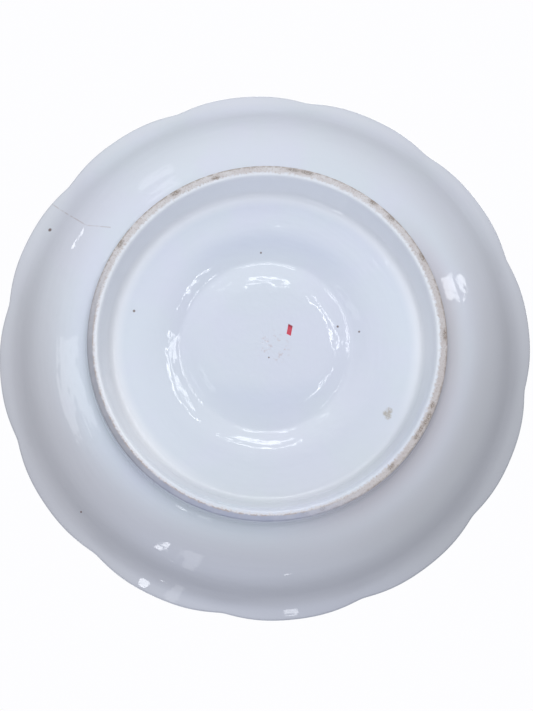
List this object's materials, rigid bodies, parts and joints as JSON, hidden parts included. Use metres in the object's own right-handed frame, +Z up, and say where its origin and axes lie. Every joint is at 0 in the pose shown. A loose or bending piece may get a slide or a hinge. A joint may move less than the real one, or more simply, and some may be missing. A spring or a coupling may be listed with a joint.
{
  "type": "oyster plate",
  "caption": "Round porcelain oyster plate with a lobed rim, sunken oyster wells round a central sauce well, and a tall foot ring with a bare standing edge.",
  "frame": {"origin": "on the table, under the middle of the plate", "axes": "+Z up through the middle of the plate, food side up; +X and +Y across it, with the first notch of the rim 9.4 degrees from +X towards +Y"},
  "size_m": [0.2398, 0.2398, 0.027],
  "materials": {
    "glaze": "clear gloss glaze over cool white porcelain",
    "bare_foot": "unglazed biscuit, worn and stained along the standing edge"
  },
  "bodies": {
    "root": {"dish_body": "glaze", "foot_ring": "bare_foot", "oyster_well_1": "glaze", "oyster_well_2": "glaze", "oyster_well_3": "glaze", "oyster_well_4": "glaze", "oyster_well_5": "glaze", "oyster_well_6": "glaze"}
  },
  "joints": []
}
